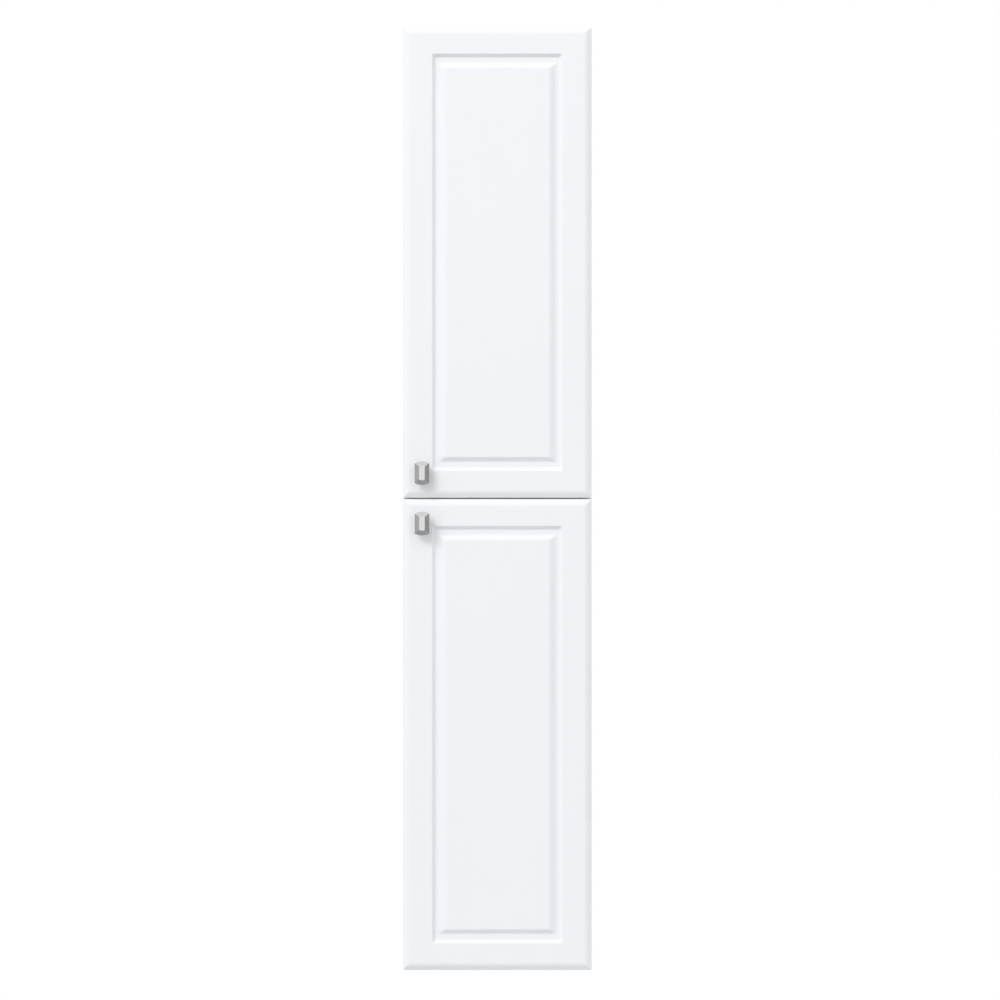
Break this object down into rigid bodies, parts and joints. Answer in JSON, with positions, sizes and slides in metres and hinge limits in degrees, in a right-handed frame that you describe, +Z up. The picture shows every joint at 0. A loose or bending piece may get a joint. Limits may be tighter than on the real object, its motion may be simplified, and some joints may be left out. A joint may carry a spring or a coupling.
{
  "type": "tall bathroom cabinet",
  "caption": "Tall narrow wall-hung bathroom cabinet in satin white with stacked raised-panel doors, bevelled chrome knobs, glass shelves and concealed hinges.",
  "frame": {"origin": "centre of the four screw holes of the wall plates, in the plane of the wall", "axes": "+X to the right of a person facing the doors, +Y into the wall, +Z up; the doors face -Y"},
  "size_m": [0.3, 0.344, 1.5],
  "materials": {
    "door_foil": "routed MDF wrapped in smooth white satin foil",
    "case_board": "particle board faced and edged in white melamine, satin",
    "back_board": "thin white painted hardboard, matt",
    "rail_wood": "white faced particle board, matt",
    "dowel_wood": "plain beech, fluted look not modelled",
    "knob_chrome": "polished chrome plate",
    "shelf_glass": "clear float glass, polished edges, green tint seen through the edge",
    "hanger_plastic": "white moulded plastic, fine texture",
    "bumper_rubber": "soft translucent dot",
    "cast_zinc": "die-cast zinc, dull",
    "zinc_steel": "zinc-plated pressed steel",
    "hinge_nickel": "nickel-plated pressed steel, semi-bright",
    "screw_steel": "zinc-plated steel screws and pins"
  },
  "bodies": {
    "root": {"back_panel": "back_board", "bottom_panel": "case_board", "cam_bolts": "screw_steel", "cam_locks": "cast_zinc", "fixed_middle_shelf": "case_board", "hanger_adjusting_screws": "screw_steel", "hanger_body_left": "hanger_plastic", "hanger_body_right": "hanger_plastic", "hanger_hook_left": "zinc_steel", "hanger_hook_right": "zinc_steel", "hinge_adjusting_screws": "screw_steel", "hinge_arm_pins": "screw_steel", "hinge_plate_screws": "screw_steel", "left_side_panel": "case_board", "lower_bay_high_shelf": "shelf_glass", "lower_bay_high_shelf_pins": "screw_steel", "lower_bay_low_shelf": "shelf_glass", "lower_bay_low_shelf_pins": "screw_steel", "lower_bottom_hinge_arm": "hinge_nickel", "lower_bottom_hinge_plate": "hinge_nickel", "lower_mounting_rail": "rail_wood", "lower_top_hinge_arm": "hinge_nickel", "lower_top_hinge_plate": "hinge_nickel", "rail_screws": "screw_steel", "right_side_panel": "case_board", "top_panel": "case_board", "upper_bay_high_shelf": "shelf_glass", "upper_bay_high_shelf_pins": "screw_steel", "upper_bay_low_shelf": "shelf_glass", "upper_bay_low_shelf_pins": "screw_steel", "upper_bottom_hinge_arm": "hinge_nickel", "upper_bottom_hinge_plate": "hinge_nickel", "upper_top_hinge_arm": "hinge_nickel", "upper_top_hinge_plate": "hinge_nickel", "wall_plate_left": "zinc_steel", "wall_plate_right": "zinc_steel", "wood_dowels": "dowel_wood"},
    "upper_outer_links": {"upper_outer_links": "hinge_nickel"},
    "upper_door": {"upper_bottom_hinge_cup": "hinge_nickel", "upper_cup_pins": "screw_steel", "upper_cup_screws": "screw_steel", "upper_door_bumpers": "bumper_rubber", "upper_door_leaf": "door_foil", "upper_knob": "knob_chrome", "upper_knob_screw": "screw_steel", "upper_top_hinge_cup": "hinge_nickel"},
    "upper_inner_links": {"upper_inner_links": "hinge_nickel"},
    "lower_outer_links": {"lower_outer_links": "hinge_nickel"},
    "lower_door": {"lower_bottom_hinge_cup": "hinge_nickel", "lower_cup_pins": "screw_steel", "lower_cup_screws": "screw_steel", "lower_door_bumpers": "bumper_rubber", "lower_door_leaf": "door_foil", "lower_knob": "knob_chrome", "lower_knob_screw": "screw_steel", "lower_top_hinge_cup": "hinge_nickel"},
    "lower_inner_links": {"lower_inner_links": "hinge_nickel"}
  },
  "joints": [
    {"name": "upper_door_swing", "type": "hinge", "parent": "upper_outer_links", "child": "upper_door", "pos_m": [0.1384, -0.3046, -0.3145], "axis": [0, 0, 1], "range_deg": [0, 130.8]},
    {"name": "upper_outer_link_turn", "type": "hinge", "parent": "root", "child": "upper_outer_links", "pos_m": [0.114, -0.2914, -0.3145], "axis": [0, 0, 1], "range_deg": [-31, 0]},
    {"name": "upper_inner_link_turn", "type": "hinge", "parent": "root", "child": "upper_inner_links", "pos_m": [0.114, -0.3045, -0.3145], "axis": [0, 0, 1], "range_deg": [-18, 0]},
    {"name": "lower_door_swing", "type": "hinge", "parent": "lower_outer_links", "child": "lower_door", "pos_m": [0.1384, -0.3046, -1.0655], "axis": [0, 0, 1], "range_deg": [0, 130.8]},
    {"name": "lower_outer_link_turn", "type": "hinge", "parent": "root", "child": "lower_outer_links", "pos_m": [0.114, -0.2914, -1.0655], "axis": [0, 0, 1], "range_deg": [-31, 0]},
    {"name": "lower_inner_link_turn", "type": "hinge", "parent": "root", "child": "lower_inner_links", "pos_m": [0.114, -0.3045, -1.0655], "axis": [0, 0, 1], "range_deg": [-18, 0]}
  ],
  "couplings": [
    {"joint": "upper_outer_link_turn", "follows": "upper_door_swing", "ratio": -0.23547},
    {"joint": "upper_inner_link_turn", "follows": "upper_door_swing", "ratio": -0.13532},
    {"joint": "lower_outer_link_turn", "follows": "lower_door_swing", "ratio": -0.23547},
    {"joint": "lower_inner_link_turn", "follows": "lower_door_swing", "ratio": -0.13532}
  ]
}
